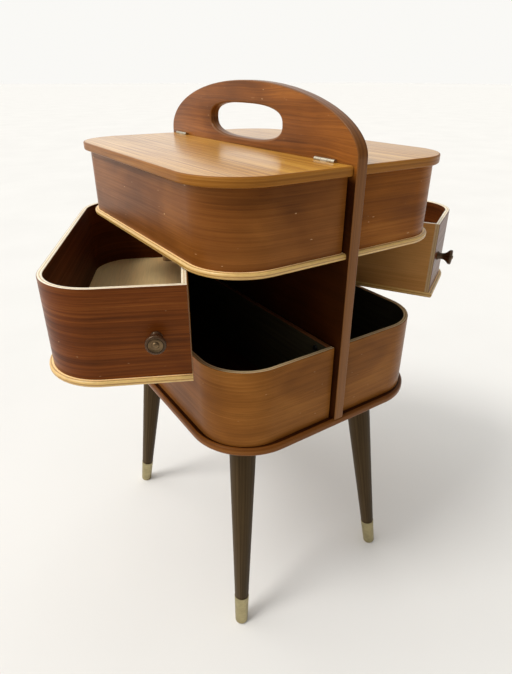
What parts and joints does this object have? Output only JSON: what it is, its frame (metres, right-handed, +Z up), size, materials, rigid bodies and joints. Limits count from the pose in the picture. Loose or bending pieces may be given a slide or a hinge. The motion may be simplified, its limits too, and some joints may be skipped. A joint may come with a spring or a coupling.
{
  "type": "sewing box with trays",
  "caption": "Carryable sewing box on splayed legs, with a handle board between lidded top boxes, swing-out drawers and open bins.",
  "frame": {"origin": "on the floor, straight under the middle of the centre board", "axes": "+Z up; X across the centre board; Y along it, with the drawer knobs at -Y"},
  "size_m": [0.5747, 0.4167, 0.6603],
  "materials": {
    "brass": "brushed",
    "steel": "zinc plated",
    "dark_wood": "satin lacquer",
    "knob_wood": "satin lacquer",
    "block_wood": "bare",
    "light_ply": "clear lacquer",
    "lid_veneer": "gloss lacquer",
    "raw_veneer": "bare",
    "black_lined_ply": "black stain",
    "veneer": "gloss lacquer",
    "base_veneer": "gloss lacquer",
    "board_veneer": "gloss lacquer"
  },
  "bodies": {
    "stand": {"base_plate": "base_veneer", "bin_screws": "steel", "bin_spacers": "block_wood", "board_hinge_leaves": "brass", "board_hinge_screws": "brass", "board_screws": "steel", "centre_board": "board_veneer", "ferrule_back_left": "brass", "ferrule_back_right": "brass", "ferrule_front_left": "brass", "ferrule_front_right": "brass", "hinge_pins": "brass", "left_bin_back": "black_lined_ply", "left_bin_wall": "veneer", "left_pivot_rod": "steel", "left_pivot_sleeve": "steel", "left_top_box_back": "veneer", "left_top_box_floor": "light_ply", "left_top_box_wall": "veneer", "leg_back_left": "dark_wood", "leg_back_right": "dark_wood", "leg_bolts": "steel", "leg_front_left": "dark_wood", "leg_front_right": "dark_wood", "leg_plate_screws": "steel", "leg_plates": "steel", "pivot_cap_nuts": "steel", "pivot_washers": "steel", "right_bin_back": "black_lined_ply", "right_bin_wall": "veneer", "right_pivot_rod": "steel", "right_pivot_sleeve": "steel", "right_top_box_back": "veneer", "right_top_box_floor": "light_ply", "right_top_box_wall": "veneer", "top_box_screws": "steel", "top_box_spacers": "block_wood"},
    "left_drawer": {"left_drawer_back": "raw_veneer", "left_drawer_floor": "light_ply", "left_drawer_knob": "knob_wood", "left_drawer_knob_cap": "brass", "left_drawer_knob_screw": "steel", "left_drawer_pivot_block": "block_wood", "left_drawer_wall": "veneer"},
    "right_drawer": {"right_drawer_back": "raw_veneer", "right_drawer_floor": "light_ply", "right_drawer_knob": "knob_wood", "right_drawer_knob_cap": "brass", "right_drawer_knob_screw": "steel", "right_drawer_pivot_block": "block_wood", "right_drawer_wall": "veneer"},
    "left_lid": {"left_lid": "lid_veneer", "left_lid_hinge_leaves": "brass", "left_lid_hinge_screws": "brass"},
    "right_lid": {"right_lid": "lid_veneer", "right_lid_hinge_leaves": "brass", "right_lid_hinge_screws": "brass"}
  },
  "joints": [
    {"name": "left_drawer_swing", "type": "hinge", "parent": "stand", "child": "left_drawer", "pos_m": [-0.03375, 0.1715, 0.401], "axis": [0, 0, -1], "range_deg": [-26, 64]},
    {"name": "right_drawer_swing", "type": "hinge", "parent": "stand", "child": "right_drawer", "pos_m": [0.03375, 0.1715, 0.401], "axis": [0, 0, 1], "range_deg": [-30, 60]},
    {"name": "left_lid_hinge", "type": "hinge", "parent": "stand", "child": "left_lid", "pos_m": [-0.00855, 0, 0.5918], "axis": [0, 1, 0], "range_deg": [0, 92]},
    {"name": "right_lid_hinge", "type": "hinge", "parent": "stand", "child": "right_lid", "pos_m": [0.00855, 0, 0.5918], "axis": [0, -1, 0], "range_deg": [0, 92]}
  ]
}
